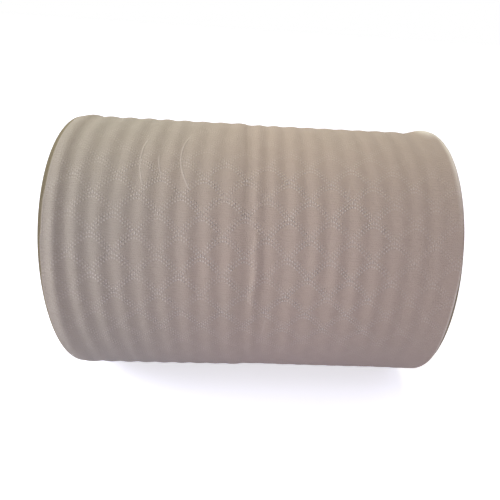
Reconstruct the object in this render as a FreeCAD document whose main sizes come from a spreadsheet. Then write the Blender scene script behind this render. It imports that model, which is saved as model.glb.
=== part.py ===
import FreeCAD, Part
import math
import os
import Sketcher

# A roll of embossed paper towel, lying on its side. X runs along the roll, from the end with the
# strongest ridges to the end where they fade, and Z is up. The origin is on the surface that the
# roll lies on, under the middle of the roll. Lengths are in millimetres and angles in degrees.
#
# The paper is one solid: a web wound into a spiral, so the roll is one thickness of paper larger
# where the last turn ends than where it passes under that end. Ridges run round it, and both ends
# show turns that lie back. The other solid is the cardboard tube that the web is wound on.

SIZES = [
    ("roll_length", 200.0, "width of the paper web, along the roll"),
    ("roll_diameter", 147.4, "across the paper, midway between ridge and furrow"),
    ("flat_width", 28.0, "flat spot that the soft roll lies on"),
    ("ridge_pitch", 10.15, "from one ridge round the roll to the next"),
    ("first_ridge", 7.6, "from the near end to the first ridge"),
    ("ridge_height", 0.42, "furrow to ridge, at the near end"),
    ("ridge_height_far", 0.2, "furrow to ridge, at the far end"),
    ("rim_ridge_extra", 0.4, "what the first ridge is higher than that"),
    ("crease_ridges", 9.0, "ridges before the crease round the roll"),
    ("crease_depth", 0.35, "what the crease is deeper than a furrow"),
    ("slack_depth", 0.35, "what the paper lies lower beyond the crease"),
    ("rim_length", 2.6, "rounded rim at the near end, along the axis"),
    ("rim_depth", 0.8, "rounded rim at the near end, towards the axis"),
    ("tail_thickness", 0.45, "step at the free end of the last turn"),
    ("tail_angle", -25.0, "where that step is, up from the back of the roll"),
    ("turn_width", 7.0, "band of turns that lie back in an end"),
    ("turn_spacing", 14.0, "from one such band to the next, one turn on"),
    ("turn_recess", 0.8, "how far they lie back"),
    ("turn_end", 34.0, "radius of the plain turns, which all stand proud"),
    ("tube_bore", 40.0, "inside of the cardboard tube"),
    ("tube_wall", 1.2, "wall of the cardboard tube"),
    ("tube_clearance", 0.1, "between the tube and the innermost turn"),
]
OVERRUN = 5.0
ALONG = FreeCAD.Vector(1, 0, 0)
AXIS_HEIGHT = "sqrt((sizes.roll_diameter / 2)^2 - (sizes.flat_width / 2)^2)"


def make_sheet(doc):
    """The driving dimensions, one row each: name, size and what it is."""
    sheet = doc.addObject("Spreadsheet::Sheet", "sizes")
    for row, (name, value, note) in enumerate(SIZES, start=1):
        sheet.set("A%d" % row, name)
        sheet.set("B%d" % row, str(value))
        sheet.set("C%d" % row, note)
        sheet.setAlias("B%d" % row, name)
    doc.recompute()
    return sheet


def axis_height(sheet):
    """The axis is lower than the roll's radius, by the depth of the flat spot."""
    return math.sqrt((sheet.roll_diameter / 2) ** 2 - (sheet.flat_width / 2) ** 2)


def ridge_outline(sheet):
    """Distance along the roll and radius there, at each rim, ridge and furrow."""
    middle = sheet.roll_diameter / 2
    outline = [(0.0, middle - sheet.rim_depth), (sheet.rim_length, middle)]
    half_pitch = sheet.ridge_pitch / 2
    crease = 2 * sheet.crease_ridges - 1
    slack = 0.0
    step = 0
    along = sheet.first_ridge
    while along < sheet.roll_length - half_pitch / 2:
        fade = along / sheet.roll_length
        height = sheet.ridge_height * (1 - fade) + sheet.ridge_height_far * fade
        height += sheet.rim_ridge_extra * math.exp(-step)
        side = 1 if step % 2 == 0 else -1
        dip = sheet.crease_depth if step == crease else 0.0
        outline.append((along, middle + side * height / 2 - slack - dip))
        if step == crease:
            slack = sheet.slack_depth
        step += 1
        along += half_pitch
    outline.append((sheet.roll_length, middle - slack))
    return outline


def make_half_roll(doc, sheet, name, side, drop):
    """Half of the last turn: the ridge outline turned through half a circle.

    The half on the far side of the axis turns about a centre that lies half a step nearer to
    the free end, so it meets the first half flush at one end and a step lower at the other.
    """
    angle = math.radians(sheet.tail_angle)
    to_tail = FreeCAD.Vector(0, math.cos(angle), math.sin(angle))
    middle = FreeCAD.Vector(0, 0, axis_height(sheet))
    centre = middle - to_tail * drop
    edge = [middle + ALONG * x + to_tail * (side * radius) for x, radius in ridge_outline(sheet)]
    corners = [centre] + edge + [centre + ALONG * sheet.roll_length, centre]

    profile = doc.addObject("Part::Feature", name + "_profile")
    profile.Shape = Part.Face(Part.makePolygon(corners))
    half = doc.addObject("Part::Revolution", name)
    half.Source = profile
    half.Axis = ALONG
    half.Base = centre
    half.Angle = 180.0
    half.Solid = True
    return half


def make_low_turns(doc, sheet, name, place, inward):
    """Cutter for the turns that lie back in one end of the roll.

    They are a spiral band that comes out from beside the tube. It leans in from its inner edge
    to its outer one, where the next turns stand proud of it by the recess. Like the web itself
    it is half turns about two centres, and it runs out where it reaches the plain turns.
    """
    inside = sheet.tube_bore / 2 + sheet.tube_wall + sheet.tube_clearance
    growth = sheet.turn_spacing / 2
    recess = ALONG * (inward * sheet.turn_recess)
    radius = inside - sheet.turn_width
    side = 1
    turns = []
    while radius < sheet.turn_end:
        edge = FreeCAD.Vector(0, side * radius, 0)
        next_turn = FreeCAD.Vector(0, side * (radius + sheet.turn_width), 0)
        corners = [edge - recess, next_turn - recess, next_turn + recess, edge, edge - recess]
        profile = Part.Face(Part.makePolygon(corners))
        centre = FreeCAD.Vector(0, -side * growth / 2, 0)
        turns.append(profile.revolve(centre, ALONG * -1, 180))
        radius += growth
        side = -side
    reach = Part.makeCylinder(sheet.turn_end, 4 * sheet.turn_recess, recess * -2, recess)
    cutter = doc.addObject("Part::Feature", name)
    cutter.Shape = turns[0].multiFuse(turns[1:]).common(reach)
    cutter.setExpression("Placement.Base.x", place)
    cutter.setExpression("Placement.Base.z", AXIS_HEIGHT)
    return cutter


def make_tube_seat(doc):
    """Cutter for the hole that the tube fills."""
    seat = doc.addObject("Part::Cylinder", "tube_seat")
    seat.setExpression("Radius", "sizes.tube_bore / 2 + sizes.tube_wall + sizes.tube_clearance")
    seat.setExpression("Height", "sizes.roll_length + %s" % (2 * OVERRUN))
    seat.Placement.Rotation = FreeCAD.Rotation(FreeCAD.Vector(0, 1, 0), 90)
    seat.Placement.Base.x = -OVERRUN
    seat.setExpression("Placement.Base.z", AXIS_HEIGHT)
    return seat


def make_ground(doc):
    """Cutter for the flat spot: all that would reach below the surface the roll lies on."""
    ground = doc.addObject("Part::Box", "ground")
    ground.setExpression("Length", "sizes.roll_length + %s" % (2 * OVERRUN))
    ground.setExpression("Width", "sizes.roll_diameter")
    ground.setExpression("Height", "sizes.roll_diameter / 2")
    ground.Placement.Base.x = -OVERRUN
    ground.setExpression("Placement.Base.y", "-sizes.roll_diameter / 2")
    ground.setExpression("Placement.Base.z", "-sizes.roll_diameter / 2")
    return ground


def make_paper_roll(doc, sheet):
    """The paper: both halves of the wound web, less the cutters."""
    web = doc.addObject("Part::MultiFuse", "wound_web")
    web.Shapes = [
        make_half_roll(doc, sheet, "over", 1, 0.0),
        make_half_roll(doc, sheet, "under", -1, sheet.tail_thickness / 2),
    ]
    cutters = doc.addObject("Part::MultiFuse", "cutters")
    cutters.Shapes = [
        make_ground(doc),
        make_tube_seat(doc),
        make_low_turns(doc, sheet, "low_turns_near", "0", 1),
        make_low_turns(doc, sheet, "low_turns_far", "sizes.roll_length", -1),
    ]
    roll = doc.addObject("Part::Cut", "paper_roll")
    roll.Label = "paper_roll"
    roll.Base = web
    roll.Tool = cutters
    for item in (web, roll):
        item.Refine = True
    roll.setExpression("Placement.Base.x", "-sizes.roll_length / 2")
    return roll


def origin_plane(body, role):
    for feature in body.Origin.OriginFeatures:
        if feature.Role == role:
            return feature
    raise RuntimeError("the body has no " + role)


def make_core_tube(doc, sheet):
    """The cardboard tube that the web is wound on, cut off flush with the paper."""
    body = doc.addObject("PartDesign::Body", "core_tube")
    body.Label = "core_tube"
    rings = body.newObject("Sketcher::SketchObject", "tube_section")
    rings.AttachmentSupport = (origin_plane(body, "YZ_Plane"), [""])
    rings.MapMode = "FlatFace"
    diameters = {
        "inside": "sizes.tube_bore",
        "outside": "sizes.tube_bore + 2 * sizes.tube_wall",
    }
    for name, expression in diameters.items():
        circle = Part.Circle(FreeCAD.Vector(), FreeCAD.Vector(0, 0, 1), sheet.tube_bore)
        ring = rings.addGeometry(circle)
        rings.addConstraint(Sketcher.Constraint("Coincident", ring, 3, -1, 1))
        size = rings.addConstraint(Sketcher.Constraint("Diameter", ring, 2 * sheet.tube_bore))
        rings.renameConstraint(size, name)
        rings.setExpression("Constraints." + name, expression)
    doc.recompute()
    tube = body.newObject("PartDesign::Pad", "tube")
    tube.Profile = rings
    tube.setExpression("Length", "sizes.roll_length")
    body.setExpression("Placement.Base.x", "-sizes.roll_length / 2")
    body.setExpression("Placement.Base.z", AXIS_HEIGHT)
    return body


def check(doc, pieces):
    """Stops the script if an object failed, or a piece isn't one sound solid."""
    for item in doc.Objects:
        if "Invalid" in item.State or "Error" in item.State:
            raise RuntimeError(item.Name + " failed")
    for piece in pieces:
        shape = piece.Shape
        if shape.isNull() or not shape.isValid() or len(shape.Solids) != 1:
            raise RuntimeError(piece.Label + " isn't one sound solid")


doc = FreeCAD.newDocument("paper_towel_roll")
sheet = make_sheet(doc)
pieces = [make_paper_roll(doc, sheet), make_core_tube(doc, sheet)]
doc.recompute()
check(doc, pieces)
os.makedirs("parts", exist_ok=True)
for piece in pieces:
    piece.Shape.exportStep("parts/" + piece.Label + ".step")
    print(piece.Label, round(piece.Shape.Volume), "mm3", len(piece.Shape.Faces), "faces")
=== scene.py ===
import bmesh
import bpy
import math
import numpy as np
from mathutils import Matrix, Vector


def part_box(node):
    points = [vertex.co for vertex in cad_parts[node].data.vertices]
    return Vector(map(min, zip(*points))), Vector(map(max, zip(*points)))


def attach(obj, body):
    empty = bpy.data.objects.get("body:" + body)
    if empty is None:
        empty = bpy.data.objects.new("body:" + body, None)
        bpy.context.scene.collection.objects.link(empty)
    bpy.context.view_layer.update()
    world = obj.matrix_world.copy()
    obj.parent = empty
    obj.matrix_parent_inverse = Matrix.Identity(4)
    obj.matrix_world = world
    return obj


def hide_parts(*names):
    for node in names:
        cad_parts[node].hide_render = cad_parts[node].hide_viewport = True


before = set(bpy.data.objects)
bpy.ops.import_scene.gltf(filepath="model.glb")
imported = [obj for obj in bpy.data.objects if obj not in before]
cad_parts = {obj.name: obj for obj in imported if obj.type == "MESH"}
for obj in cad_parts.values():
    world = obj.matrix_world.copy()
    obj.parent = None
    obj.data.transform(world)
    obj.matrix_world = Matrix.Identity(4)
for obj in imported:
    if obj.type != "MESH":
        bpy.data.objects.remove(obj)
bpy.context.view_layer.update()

# The photo's view. The roll is seen from its side, from hardly further off than it is long and
# a little from above. The photo was cropped, so the middle of the view isn't the lens's middle.
PAPER_LOW, PAPER_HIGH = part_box("paper_roll")
TUBE_LOW, TUBE_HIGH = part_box("core_tube")
AXIS_HEIGHT = (TUBE_LOW[2] + TUBE_HIGH[2]) / 2
LENGTH = PAPER_HIGH[0] - PAPER_LOW[0]
LOOK_DOWN = 26.0
STAND_BACK = 0.2772
STAND_ASIDE = -0.0021
YAW, PITCH, ROLL = -3.04, -4.51, -2.16
LENS_MM = 31.19
SHIFT = (-0.0465, 0.0633)
NEAREST = 0.01

turned = (
    Matrix.Rotation(math.radians(YAW), 3, "Z")
    @ Matrix.Rotation(math.radians(PITCH), 3, "X")
    @ Matrix.Rotation(math.radians(ROLL), 3, "Y")
    @ Matrix.Rotation(math.radians(90), 3, "X")
)
raised = Matrix.Rotation(math.radians(-LOOK_DOWN), 3, "X")
stand = raised @ Vector((STAND_ASIDE, -STAND_BACK, 0)) + Vector((0, 0, AXIS_HEIGHT))
bpy.ops.object.select_all(action="DESELECT")
bpy.ops.object.camera_add(location=stand, rotation=(raised @ turned).to_euler())
camera = bpy.context.object
camera.name = "photo_view"
camera.data.lens = LENS_MM
camera.data.shift_x, camera.data.shift_y = SHIFT
camera.data.clip_start = NEAREST
bpy.context.scene.camera = camera


# The table and the light. The roll lies on a plain white table that has no edge in view. A
# window lights it from its near end, and weaker light comes from above, in front and behind.
TABLE_SIZE = 40.0
TABLE_DROP = 0.0002
TABLE_WHITE = (0.68, 0.69, 0.84, 1.0)
TABLE_GLOW = 0.64
WHITE = (1.0, 1.0, 1.0, 1.0)
ROOM_STRENGTH = 0.25
WINDOW_PLACE = (-1.53, -0.27, 0.85)
WINDOW_SIZE = 0.7
WINDOW_POWER = 28.5
# name, where it comes from, strength, spread and colour
FAR_LIGHTS = [
    ("ceiling", (0.05, 0.62, 0.78), 1.33, 40.0, (1.0, 0.92, 0.44)),
    ("doorway", (0.10, -0.90, 0.10), 1.22, 60.0, (1.0, 0.85, 1.02)),
    ("hallway", (0.80, 0.58, 0.12), 1.7, 50.0, (0.96, 0.91, 1.08)),
]


class Shade:
    """A socket in a material. Sums, products and so on of it add their Math nodes."""

    def __init__(self, tree, socket):
        self.tree = tree
        self.socket = socket

    def node(self, kind, settings, values, output=0):
        """A node of any kind: its settings first, then the values or links of its sockets."""
        new = self.tree.nodes.new(kind)
        for name, setting in settings.items():
            setattr(new, name, setting)
        for name, value in values.items():
            if isinstance(value, Shade):
                self.tree.links.new(value.socket, new.inputs[name])
            else:
                new.inputs[name].default_value = value
        return Shade(self.tree, new.outputs[output])

    def math(self, operation, *values):
        return self.node("ShaderNodeMath", {"operation": operation}, dict(enumerate(values)))

    def __add__(self, other):
        return self.math("ADD", self, other)

    def __radd__(self, other):
        return self.math("ADD", other, self)

    def __sub__(self, other):
        return self.math("SUBTRACT", self, other)

    def __rsub__(self, other):
        return self.math("SUBTRACT", other, self)

    def __mul__(self, other):
        return self.math("MULTIPLY", self, other)

    def __rmul__(self, other):
        return self.math("MULTIPLY", other, self)

    def __truediv__(self, other):
        return self.math("DIVIDE", self, other)

    def between(self, start, end, low=0.0, high=1.0):
        """low up to start and high past end, with a soft change between them."""
        settings = {"interpolation_type": "SMOOTHSTEP"}
        ends = {"From Min": start, "From Max": end, "To Min": low, "To Max": high}
        return self.node("ShaderNodeMapRange", settings, {"Value": self, **ends})

    def colour(self, first, second):
        """The first colour where this is 0 and the second where it is 1."""
        values = {0: self, 6: first, 7: second}
        return self.node("ShaderNodeMix", {"data_type": "RGBA"}, values, output=2)


def new_finish(name, **surface):
    """A material with its surface node, and the object's own coordinates to draw on it with."""
    material = bpy.data.materials.new(name)
    material.use_nodes = True
    shader = material.node_tree.nodes["Principled BSDF"]
    for socket, value in surface.items():
        shader.inputs[socket.replace("_", " ")].default_value = value
    place = material.node_tree.nodes.new("ShaderNodeTexCoord")
    return material, shader, Shade(material.node_tree, place.outputs["Object"])


def set_up(shader, **drawn):
    """Links what is drawn to the surface's sockets."""
    for socket, shade in drawn.items():
        shade.tree.links.new(shade.socket, shader.inputs[socket.replace("_", " ")])


def seen_directly(tree):
    """1 for what the camera sees, also in a reflection or through glass, and 0 for the rest."""
    ray = tree.nodes.new("ShaderNodeLightPath")
    seen = Shade(tree, ray.outputs["Is Camera Ray"])
    for kind in ("Is Glossy Ray", "Is Transmission Ray"):
        seen = seen.math("MAXIMUM", seen, Shade(tree, ray.outputs[kind]))
    return seen


bpy.ops.object.select_all(action="DESELECT")
bpy.ops.mesh.primitive_plane_add(size=TABLE_SIZE, location=(0, 0, -TABLE_DROP))
table = bpy.context.object
table.name = "table_top"
finish, shader, place = new_finish("table_white", Roughness=0.9)
shader.inputs["Base Color"].default_value = TABLE_WHITE
shader.inputs["Specular IOR Level"].default_value = 0.0
seen = seen_directly(place.tree)
glow = seen.node("ShaderNodeEmission", {}, {"Color": WHITE, "Strength": seen * TABLE_GLOW})
lit = seen.node("ShaderNodeAddShader", {}, {0: glow, 1: Shade(place.tree, shader.outputs[0])})
seen.tree.links.new(lit.socket, seen.tree.nodes["Material Output"].inputs["Surface"])
table.data.materials.append(finish)

aim = Vector(WINDOW_PLACE).to_track_quat("Z", "Y")
bpy.ops.object.light_add(type="AREA", location=WINDOW_PLACE, rotation=aim.to_euler())
light = bpy.context.object
light.name = "window"
light.data.energy = WINDOW_POWER
light.data.size = WINDOW_SIZE
for name, source, strength, spread, colour in FAR_LIGHTS:
    aim = Vector(source).to_track_quat("Z", "Y")
    bpy.ops.object.light_add(type="SUN", location=source, rotation=aim.to_euler())
    light = bpy.context.object
    light.name = name
    light.data.energy = strength
    light.data.angle = math.radians(spread)
    light.data.color = colour

room = bpy.data.worlds.new("room")
bpy.context.scene.world = room
room.use_nodes = True
background = room.node_tree.nodes["Background"]
background.inputs["Color"].default_value = WHITE
background.inputs["Strength"].default_value = ROOM_STRENGTH
seen = seen_directly(room.node_tree)
white = seen.node("ShaderNodeBackground", {}, {"Color": WHITE, "Strength": 1.0})
plain = Shade(room.node_tree, background.outputs[0])
both = seen.node("ShaderNodeMixShader", {}, {0: seen, 1: plain, 2: white})
room.node_tree.links.new(both.socket, room.node_tree.nodes["World Output"].inputs["Surface"])
bpy.context.scene.view_settings.view_transform = "Standard"


# The wound web. One soft two-ply sheet is wound on the tube, about 115 turns. Its last turn
# shows as the roll's side: ridges round it, weak past a crease, and a free end on the back.
# Both ends show the cut edges of all the turns, some of which lie back.
RADIUS = 0.0737
TUBE_SEAT = 0.0213
ROUND_STEPS = 240
LENGTH_STEPS = (4, 80)
END_STEPS = 44
RIM_FINE = 0.012
RIM_CLOSER = 1.7
RIDGE_PITCH = 0.01008
FIRST_RIDGE = 0.0076
RIDGE_DEPTH = (0.0007, 0.00021)
FIRST_RIDGE_EXTRA = 0.00064
EXTRA_FADE = 0.006
RIDGE_UNEVEN = 0.3
UNDER_FADE = 0.5
FAR_PLAIN = 0.004
FAR_FADE = 0.009
WEAK_RIDGE = 0.1035
WEAK_FADE = 0.35
SWAY = 0.0003
# how far the ridges shift at the near end, how far along that reaches, and where round the roll
NEAR_SHIFTS = [(0.0014, 0.04, 55, 60), (0.002, 0.015, -50, 50), (0.0011, 0.06, -50, 50)]
CREASE = 0.0942
CREASE_WIDTH = 0.0009
CREASE_DEPTH = 0.00012
CREASE_WOBBLE = (0.0006, 0.0003)
CREASE_LEAST = 0.35
CREASE_SHIFT = 0.0020
CRUMPLE = 0.00055
CRUMPLE_AT = 0.0051
CRUMPLE_WOBBLE = 0.0009
CRUMPLE_WIDTH = (0.0026, 0.004)
SLACK = 0.00048
SLACK_BEFORE = 0.0022
SLACK_RUN = 0.0036
SLACK_DIP = 0.3
TOP_SLACK = 0.0005
FLARE = 0.0005
SOFT_WANDER = 0.0001
SOFT_WAVE = 0.00012
FAR_RISE = 0.0004
TOP_DIP = 0.0004
NEAR_BARE = 0.002
FAR_BARE = 0.0012
RIM_LENGTH = 0.0026
RIM_DEPTH = 0.0004
FAR_RIM_LENGTH = 0.0012
FAR_RIM_DEPTH = 0.0003
BARE_EDGE = 0.0001
LIP = 0.00014
FLAP = 0.0017
FREE_END = math.radians(-155)
END_PULL = math.radians(1.2)
END_GAP = math.radians(0.03)
END_LIFT = 0.8
END_LIFT_REACH = math.radians(4)
SHEET = 0.00045
BAND_SPACING = 0.014
BAND_START = 0.0143
BAND_END = 0.034
BAND_LEAN = 0.0008
TURN_UNEVEN = 0.0004


def press(distance, width):
    """1 at distance 0, falling softly to 0 at the width."""
    return np.clip(1 - (distance / width) ** 2, 0, 1) ** 2


def turned_from(angle, middle):
    """How far an angle is from another, to either side of it."""
    return np.remainder(angle - middle + math.pi, 2 * math.pi) - math.pi


def facing(angle, above, reach):
    """1 at so many degrees above the view's middle, falling softly to 0 at the reach."""
    middle = math.radians(LOOK_DOWN) + math.radians(above)
    return press(turned_from(angle, middle), math.radians(reach))


def at_least(low, amount):
    """The amount, 0 to 1, raised so that its lowest value is low."""
    return low + (1 - low) * amount


def wander(position, seed, reach):
    """A smooth random line through -1 to 1, one point for each step of position."""
    points = np.random.default_rng(seed).uniform(-1, 1, reach)
    step = np.floor(position).astype(int)
    part = position - step
    part = part * part * (3 - 2 * part)
    return points[step % reach] * (1 - part) + points[(step + 1) % reach] * part


bpy.ops.object.select_all(action="DESELECT")
bpy.ops.mesh.primitive_cylinder_add(
    vertices=ROUND_STEPS, radius=RADIUS, depth=LENGTH, end_fill_type="NOTHING",
    location=(0, 0, AXIS_HEIGHT), rotation=(0, math.pi / 2, 0),
)
web = bpy.context.object
web.name = "wound_web"
bpy.ops.object.transform_apply(location=True, rotation=True, scale=True)
bpy.ops.object.mode_set(mode="EDIT")
bpy.ops.mesh.select_mode(type="EDGE")
for steps in LENGTH_STEPS:
    bpy.ops.mesh.select_all(action="DESELECT")
    shell = bmesh.from_edit_mesh(web.data)
    for edge in shell.edges:
        first, last = edge.verts
        edge.select = abs(first.co.x - last.co.x) > 1e-6
    bmesh.update_edit_mesh(web.data)
    bpy.ops.mesh.subdivide(number_cuts=steps - 1)
bpy.ops.mesh.select_all(action="DESELECT")
shell = bmesh.from_edit_mesh(web.data)
for edge in shell.edges:
    edge.select = edge.is_boundary
bmesh.update_edit_mesh(web.data)
for step in range(END_STEPS):
    before = RADIUS - (RADIUS - TUBE_SEAT) * step / END_STEPS
    after = RADIUS - (RADIUS - TUBE_SEAT) * (step + 1) / END_STEPS
    size = (1, after / before, after / before)
    bpy.ops.mesh.extrude_edges_move()
    bpy.ops.transform.resize(value=size, center_override=(0, 0, AXIS_HEIGHT))
bpy.ops.mesh.bridge_edge_loops()
bpy.ops.mesh.select_all(action="SELECT")
bpy.ops.mesh.normals_make_consistent(inside=False)
bpy.ops.object.mode_set(mode="OBJECT")

spots = np.empty(len(web.data.vertices) * 3)
web.data.vertices.foreach_get("co", spots)
spots = spots.reshape(-1, 3)
along = spots[:, 0] + LENGTH / 2
radius = np.hypot(spots[:, 1], spots[:, 2] - AXIS_HEIGHT)
angle = np.arctan2(spots[:, 2] - AXIS_HEIGHT, -spots[:, 1])
side = radius > RADIUS - 1e-5

# The columns of points stand closer near both rims.
rim_part = np.clip(np.minimum(along, LENGTH - along) / RIM_FINE, 0, 1)
closer = RIM_FINE * (rim_part - rim_part ** RIM_CLOSER)
along += np.where(along < LENGTH / 2, -closer, closer)

# The free end is a step down of one sheet, between two columns of points that almost meet.
past_end = np.remainder(FREE_END - angle, 2 * math.pi)
signed = np.where(past_end > math.pi, past_end - 2 * math.pi, past_end)
near_end = np.abs(signed) < END_PULL
signed = np.where(near_end, np.sign(signed) * END_GAP, signed)
angle = FREE_END - signed
past_end = np.remainder(signed, 2 * math.pi)
sunk = np.where(past_end > math.pi, SHEET * (1 + np.cos(past_end)) / 2, 0.0)
lifted = SHEET * END_LIFT * press(signed, END_LIFT_REACH) * (signed > 0)

# How far each point of the side stands off the plain cylinder. First the ridges, which shift a
# little along the roll from place to place.
strength = np.interp(along, [0, LENGTH], RIDGE_DEPTH) / 2
strength += FIRST_RIDGE_EXTRA / 2 * np.exp(-np.abs(along - FIRST_RIDGE) / EXTRA_FADE)
strength *= 1 + RIDGE_UNEVEN * wander(along / 0.017 + 3 * np.sin(angle), 5, 64)
strength *= 1 - UNDER_FADE * facing(angle, -86, 60)
strength *= np.clip((LENGTH - along - FAR_PLAIN) / FAR_FADE, 0, 1)
strength *= 1 - WEAK_FADE * press(along - WEAK_RIDGE, 0.005)
sway = SWAY * np.sin(2 * angle + along / 0.05) + SWAY * np.sin(5 * angle - along / 0.03)
sway -= CREASE_SHIFT * press(along - CREASE - 0.005, 0.0085)
for shift, reach, above, span in NEAR_SHIFTS:
    sway += shift * facing(angle, above, span) * np.clip(1 - along / reach, 0, 1)
waves = np.cos((along - FIRST_RIDGE + sway) * 2 * math.pi / RIDGE_PITCH)
stand_off = strength * waves

# The crease and the crumpled paper past it. The top lies a little low and the lower front
# flares at the far end, and past the crease the whole side is slack.
crease_at = CREASE + CREASE_WOBBLE[0] * np.sin(angle * 3) + CREASE_WOBBLE[1] * np.sin(angle * 7)
notch = at_least(CREASE_LEAST, facing(angle, 60, 55))
stand_off -= CREASE_DEPTH * notch * press(along - crease_at, CREASE_WIDTH)
crumpled = 0.55 + 0.6 * wander(past_end * 9, 31, 64)
crumpled *= at_least(0.25, facing(angle, -12, 52))
crumple_at = crease_at + CRUMPLE_AT + CRUMPLE_WOBBLE * wander(past_end * 14, 33, 128)
crumple_width = np.where(along < crumple_at, *CRUMPLE_WIDTH)
stand_off += CRUMPLE * crumpled * press(along - crumple_at, crumple_width)
stand_off -= TOP_SLACK * facing(angle, 85, 50) * np.clip(along / 0.02, 0, 1)
stand_off += FLARE * facing(angle, -65, 55) * press(LENGTH - along, 0.03)
stand_off -= SLACK * np.clip((along - crease_at + SLACK_BEFORE) / SLACK_RUN, 0, 1)
stand_off -= SLACK_DIP * SLACK * press(along - crease_at - 0.011, 0.012)

# Soft unevenness of the whole side, the rounding of both rims, and a dip and rise at the far end.
stand_off += SOFT_WANDER * wander(along / 0.03 + 2 * np.cos(angle), 8, 64)
stand_off += SOFT_WAVE * np.sin(3 * angle + along / 0.02) * np.sin(2 * angle)
near_rim = np.clip(1 - along / RIM_LENGTH, 0, 1)
stand_off -= RIM_DEPTH * (1 - np.sqrt(1 - near_rim ** 2))
far_rim = np.clip(1 - (LENGTH - along) / FAR_RIM_LENGTH, 0, 1)
stand_off -= FAR_RIM_DEPTH * far_rim ** 2
stand_off -= TOP_DIP * facing(angle, 75, 40) * press(along - 0.187, 0.007)
stand_off += FAR_RISE * np.clip((along - 0.13) / 0.07, 0, 1)

# At the near rim the turn below shows past the last one, most over the upper front. At the far
# rim it shows over the lower front, under the last turn's thin edge, and a flap lifts on top.
bare_near = NEAR_BARE * at_least(0.4, facing(angle, 38, 60))
bare_far = FAR_BARE * facing(angle, -27, 34)
from_edge = np.minimum(along - bare_near, LENGTH - along - bare_far)
bare = np.clip(-from_edge / BARE_EDGE, 0, 1) * side
stand_off -= SHEET * 0.5 * bare
lip = press(LENGTH - along - bare_far - 0.0003, 0.0006) * (bare < 0.5) * side
lip *= np.clip(bare_far / 0.0008, 0, 1)
stand_off += LIP * lip
stand_off += FLAP * press(along - 0.1945, 0.0085) * facing(angle, 71, 20) * side
# A painted highlight on the lifted flap and along the far rim's upper edge.
edge_glint = press(along - 0.1965, 0.008) * facing(angle, 72, 16)
edge_glint += 0.7 * press(LENGTH - along, 0.0032) * facing(angle, 48, 45)
edge_glint *= side

# The turns' edges in the ends: a spiral band leans in near the tube, and none is quite level.
about = np.arctan2(AXIS_HEIGHT - spots[:, 2], spots[:, 1])
phase = np.remainder((radius - BAND_START) / BAND_SPACING - about / (2 * math.pi), 1)
lean = np.where((phase < 0.5) & (radius < BAND_END), BAND_LEAN * phase * 2, 0)
turn = (RADIUS - radius) / SHEET + past_end / (2 * math.pi)
uneven = 0.6 * wander(turn / 9, 21, 64) + 0.4 * wander(turn / 3.4, 22, 128)
lean += TURN_UNEVEN * (1 - press(RADIUS - radius, 0.003)) * (0.5 + 0.5 * uneven)
lean *= ~side & (radius > TUBE_SEAT + 1e-5)

radius = np.where(side, RADIUS + stand_off - sunk + lifted, radius)
spots[:, 0] = along - LENGTH / 2
spots[:, 0] -= np.sign(spots[:, 0]) * lean
spots[:, 1] = -radius * np.cos(angle)
spots[:, 2] = np.maximum(AXIS_HEIGHT + radius * np.sin(angle), 0)
web.data.vertices.foreach_set("co", spots.ravel())
web.data.update()
# bare is painted dark as shade over the strips where the turn below shows, and lit_edge pale as a
# highlight on the far rim's thin edge and the flap.
for name, values in (("bare", bare), ("lit_edge", np.clip(0.5 * lip + 1.3 * edge_glint, 0, 1))):
    web.data.attributes.new(name, "FLOAT", "POINT").data.foreach_set("value", values)


# The paper's finish. Both plies are pressed together in a fish-scale net of small dots, three
# rows to a band, the last one faint. Between the bands the paper puffs up, with fine crepe
# lines along the roll.
# PAPER_COOL, PAPER_WARM and PAPER_DEEP along the roll are painted light: cool by the window at the
# near end, then warmer, and a little darker as shade toward the far end. PAPER_DEEP also darkens
# the crepe lines and the pressed bands a little.
PAPER_COOL = (0.370, 0.334, 0.288, 1.0)
PAPER_WARM = (0.428, 0.350, 0.298, 1.0)
PAINTED_HIGHLIGHT = (0.62, 0.57, 0.53, 1.0)
PAINTED_GLINT = (0.78, 0.745, 0.69, 1.0)
PAPER_DEEP = (0.27, 0.22, 0.19, 1.0)
PAINTED_GAP_SHADE = (0.185, 0.155, 0.085, 1.0)
SCALE_WIDTH = 20.35
SCALE_HEIGHT = 9.45
SCALE_MIDDLE = 54.1
SCALE_FOOT = 3.2
ARCH_SLOPE = 1.2
ARCH_ROUND = 3.6
DOT_ROWS = ((7.3, 0.9), (9.2, 1.0), (11.1, 0.5))
DOT_PITCH = 1.2685
DOT_SIZE = 0.56
DOT_RISE = 0.38
DOT_STRETCH = 0.012
BAND_WIDEN = 0.035
BAND_EDGE = (1.6, 3.4)
PUFF = 0.03
PUFF_EDGE = (1.2, 4.4)
CREPE = 0.2
FLUFF = 0.34
PATTERN_FRONT = 25.0
# place along the roll and angle from the view's middle, at both ends and the middle of each
WRINKLES = [
    (((45.0, 46), (43.3, 38), (45.8, 22)), 0.22),
    (((51.7, 36), (52.2, 31.5), (54.2, 26)), 0.24),
    (((66.3, 50), (62.3, 36), (68.3, 20)), 0.26),
    (((144.7, 26), (143.9, 21.5), (142.5, 17)), 0.12),
    (((106.0, -29), (105.3, -35), (104.0, -41)), 0.08),
]


def on_web(place):
    """Mm along the roll, the angle round it from the pattern's front, and mm off its axis."""
    middle = {"Location": (-LENGTH / 2, 0, AXIS_HEIGHT), "Scale": (0.001, 0.001, 0.001)}
    turn = {"Rotation": (math.radians(-PATTERN_FRONT), 0, 0)}
    centred = place.node(
        "ShaderNodeMapping", {"vector_type": "TEXTURE"}, {"Vector": place, **middle, **turn}
    )
    parts = [centred.node("ShaderNodeSeparateXYZ", {}, {0: centred}, axis) for axis in range(3)]
    round_angle = place.math("ARCTAN2", parts[2], parts[1] * -1)
    distance = place.math("SQRT", parts[1] * parts[1] + parts[2] * parts[2])
    return parts[0], round_angle, distance


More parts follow.
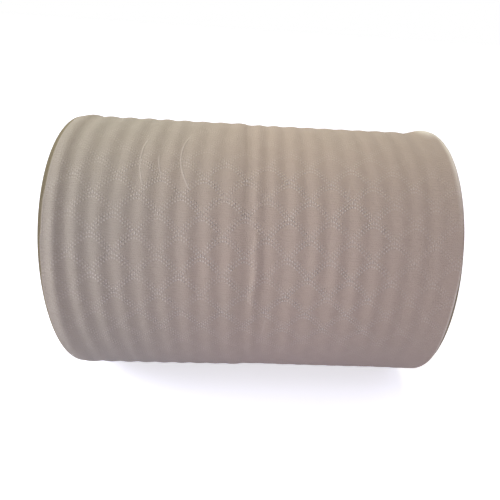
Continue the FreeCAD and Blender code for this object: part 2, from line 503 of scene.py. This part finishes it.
def noise(place, vector, scale, detail=2.0):
    """Soft random shading, 0 to 1."""
    values = {"Vector": vector, "Scale": scale, "Detail": detail}
    return place.node("ShaderNodeTexNoise", {}, values)


def arc_through(points):
    """Centre and radius of the circle through three points."""
    (ax, ay), (bx, by), (cx, cy) = points
    twice = 2 * (ax * (by - cy) + bx * (cy - ay) + cx * (ay - by))
    a, b, c = ax * ax + ay * ay, bx * bx + by * by, cx * cx + cy * cy
    x = (a * (by - cy) + b * (cy - ay) + c * (ay - by)) / twice
    y = (a * (cx - bx) + b * (ax - cx) + c * (bx - ax)) / twice
    return x, y, math.hypot(ax - x, ay - y)


finish, shader, place = new_finish("embossed_paper", Roughness=0.92)
shader.inputs["Specular IOR Level"].default_value = 0.15
shader.inputs["Sheen Weight"].default_value = 0.12
shader.inputs["Sheen Roughness"].default_value = 0.6
along, round_angle = on_web(place)[:2]
radius_mm = RADIUS * 1000
around = round_angle * radius_mm
foot = radius_mm * math.radians(LOOK_DOWN + SCALE_FOOT - PATTERN_FRONT)
row = (around - foot) / SCALE_HEIGHT
number = row.math("FLOOR", row)
up = (row - number) * SCALE_HEIGHT
shifted = along - SCALE_MIDDLE - number.math("FLOORED_MODULO", number, 2.0) * (SCALE_WIDTH / 2)
beside = shifted.math("WRAP", shifted, SCALE_WIDTH / 2, -SCALE_WIDTH / 2)
arch = beside.math("SQRT", beside * beside + ARCH_ROUND ** 2) - ARCH_ROUND
rise = up + arch * ARCH_SLOPE
steep = beside.math("ABSOLUTE", beside)
step = beside * (1 + steep * DOT_STRETCH) / DOT_PITCH + 0.5
off_dot = (step.math("FRACT", step) - 0.5) * DOT_PITCH
slope = beside / beside.math("SQRT", beside * beside + ARCH_ROUND ** 2) * ARCH_SLOPE
dots = None
for row_rise, firm in DOT_ROWS:
    off_row = rise - row_rise - slope * off_dot
    far = off_dot.math("SQRT", off_dot * off_dot + off_row * off_row)
    dot = far.between(DOT_SIZE * 0.25, DOT_SIZE * 1.15, firm, 0.0)
    dots = dot if dots is None else dots.math("MAXIMUM", dots, dot)
from_rows = (rise - DOT_ROWS[1][0]) / (1 + steep * BAND_WIDEN)
from_rows = from_rows.math("ABSOLUTE", from_rows)
puff = from_rows.between(*PUFF_EDGE)

flat = place.node("ShaderNodeCombineXYZ", {}, {0: along, 1: around, 2: 0.0})
worn = noise(place, flat, 0.045).between(0.35, 0.6, 0.6, 1.0)
doubled = (round_angle + 0.05) * 2
squashed = doubled.math("COSINE", doubled).between(-0.05, 0.6, 0.3, 1.0)
worn = worn * noise(place, flat, 0.22).between(0.32, 0.66, 0.55, 1.2)
worn = worn * squashed * along.between(145, 185, 1.0, 0.35) * along.between(3, 28, 0.3, 1.0)
grain = place.node("ShaderNodeCombineXYZ", {}, {0: along * 0.22, 1: around * 1.0, 2: 0.0})
crepe = noise(place, grain, 1.3, 3.0)
fluff = noise(place, flat, 2.2, 3.0)
height = puff * PUFF + dots * worn * DOT_RISE + crepe * CREPE * 2 + fluff * FLUFF

# The wrinkle lines are also gathered here for a painted highlight along them.
fold_highlight = None
for points, rise in WRINKLES:
    flat_points = [(x, radius_mm * math.radians(LOOK_DOWN + a - PATTERN_FRONT)) for x, a in points]
    centre_x, centre_y, bend = arc_through(flat_points)
    top, bottom = flat_points[0][1], flat_points[2][1]
    dx, dy = along - centre_x, around - centre_y
    off = dx.math("SQRT", dx * dx + dy * dy) - bend
    line = off.math("ABSOLUTE", off).between(0.0, 0.6, 1.0, 0.0)
    span = around.between(bottom - 1, bottom + 3) * around.between(top - 4, top + 1, 1.0, 0.0)
    same_side = along.between(flat_points[1][0] - 9, flat_points[1][0] - 8)
    same_side = same_side * along.between(flat_points[1][0] + 8, flat_points[1][0] + 9, 1.0, 0.0)
    fold = line * span * same_side
    height = height + fold * rise * 0.6
    fold_highlight = fold * rise * 1.6 if fold_highlight is None else fold_highlight.math("MAXIMUM", fold_highlight, fold * rise * 1.6)

bump = height.node("ShaderNodeBump", {}, {"Height": height, "Distance": 0.001, "Strength": 1.0})
# Painted light along the roll: cooler at the near end by the window, warmer further on, and darker
# as shade toward the far end. The cloud is the paper's own uneven tone.
cloud = noise(place, flat, 0.02, 3.0)
tint = (along.between(10, 120) + cloud * 0.5 - 0.25).colour(PAPER_COOL, PAPER_WARM)
tint = (along.between(120, 190) * 0.25).colour(tint, PAPER_DEEP)
rim_shade_and_light = [
    place.node("ShaderNodeAttribute", {"attribute_name": name}, {}, output=2)
    for name in ("bare", "lit_edge")
]
tint = (crepe.between(0.45, 0.8) * 0.12).colour(tint, PAPER_DEEP)
band = from_rows.between(*BAND_EDGE, 1.0, 0.0)
tint = (band * worn * 0.03).colour(tint, PAPER_DEEP)
# Painted highlights: the dots and the wrinkle lines are lighter where the light catches them.
tint = (dots * worn * 0.9).colour(tint, PAINTED_HIGHLIGHT)
tint = fold_highlight.colour(tint, PAINTED_HIGHLIGHT)
# Painted highlight on the far rim's edge and the flap, and painted shade over the bare strips.
tint = rim_shade_and_light[1].colour(tint, PAINTED_GLINT)
tint = (rim_shade_and_light[0] * 0.85).colour(tint, PAINTED_GAP_SHADE)
set_up(shader, Base_Color=tint, Normal=bump)
web.data.materials.append(finish)

# The turns' cut edges: two soft plies a turn, with painted shade in the gaps between them.
finish, shader, place = new_finish("cut_edges", Roughness=0.95)
shader.inputs["Specular IOR Level"].default_value = 0.1
along, round_angle, distance = on_web(place)
turns = distance / (SHEET * 1000) + round_angle / (2 * math.pi)
flat = place.node("ShaderNodeCombineXYZ", {}, {0: turns, 1: round_angle * 3.0, 2: 0.0})
loose = noise(place, flat, 0.35, 3.0)
fuzz = noise(place, place, 900.0, 2.0)
wave = (turns + loose * 1.2) * (2 * math.pi)
edge = wave.math("SINE", wave) * 0.5 + 0.5
height = edge * 0.12 + loose * 0.3 + fuzz * 0.1
bump = height.node("ShaderNodeBump", {}, {"Height": height, "Distance": 0.001, "Strength": 0.8})
gap_shade = (1 - edge) * 0.45 + loose.between(0.5, 0.75) * 0.5 + fuzz * 0.1
set_up(shader, Base_Color=gap_shade.colour((0.47, 0.41, 0.35, 1), (0.27, 0.225, 0.18, 1)), Normal=bump)
web.data.materials.append(finish)
for face in web.data.polygons:
    middle = face.center
    if math.hypot(middle.y, middle.z - AXIS_HEIGHT) < RADIUS - 0.0016:
        face.material_index = 1

bpy.ops.object.select_all(action="DESELECT")
web.select_set(True)
bpy.context.view_layer.objects.active = web
bpy.ops.object.shade_smooth_by_angle(angle=math.radians(40))
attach(web, "root")
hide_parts("paper_roll")


# The tube. It is wound from two plies of grey-brown board on the skew, so a seam runs round it
# like a screw's thread, and it is cut off flush with the paper.
TUBE_BORE = 0.020
TUBE_WALL = 0.0012
BOARD = (0.33, 0.245, 0.165, 1.0)
BOARD_PALE = (0.42, 0.325, 0.225, 1.0)
PLY_WIDTH = 62.0

bpy.ops.object.select_all(action="DESELECT")
bpy.ops.mesh.primitive_cylinder_add(
    vertices=160, radius=TUBE_BORE + TUBE_WALL, depth=LENGTH, end_fill_type="NOTHING",
    location=(0, 0, AXIS_HEIGHT), rotation=(0, math.pi / 2, 0),
)
tube = bpy.context.object
tube.name = "board_tube"
bpy.ops.object.transform_apply(location=True, rotation=True, scale=True)
wall = tube.modifiers.new("wall", "SOLIDIFY")
wall.thickness = TUBE_WALL
wall.offset = -1
bpy.ops.object.modifier_apply(modifier="wall")
worn_edge = tube.modifiers.new("worn_edge", "BEVEL")
worn_edge.width = 0.0003
worn_edge.segments = 3
worn_edge.limit_method = "ANGLE"
worn_edge.angle_limit = math.radians(60)
bpy.ops.object.modifier_apply(modifier="worn_edge")

finish, shader, place = new_finish("tube_board", Roughness=0.85)
shader.inputs["Specular IOR Level"].default_value = 0.2
along, round_angle, distance = on_web(place)
skew = along / PLY_WIDTH + round_angle / (2 * math.pi)
ply = skew.math("FRACT", skew)
seam = ply.between(0.0, 0.012, 1.0, 0.0) + ply.between(0.985, 1.0)
flat = place.node("ShaderNodeCombineXYZ", {}, {0: along, 1: round_angle * 20.0, 2: distance})
fibre = noise(place, flat, 0.9, 4.0)
into_wall = distance - TUBE_BORE * 1000
plies = into_wall.math("SINE", into_wall * 20.0)
height = fibre * 0.06 - seam * 0.2 + plies * 0.02
bump = height.node("ShaderNodeBump", {}, {"Height": height, "Distance": 0.001, "Strength": 0.7})
mark = fibre.between(0.35, 0.7) - seam * 0.6
set_up(shader, Base_Color=mark.colour(BOARD, BOARD_PALE), Normal=bump)
tube.data.materials.append(finish)
bpy.ops.object.shade_smooth_by_angle(angle=math.radians(40))
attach(tube, "root")
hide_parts("core_tube")
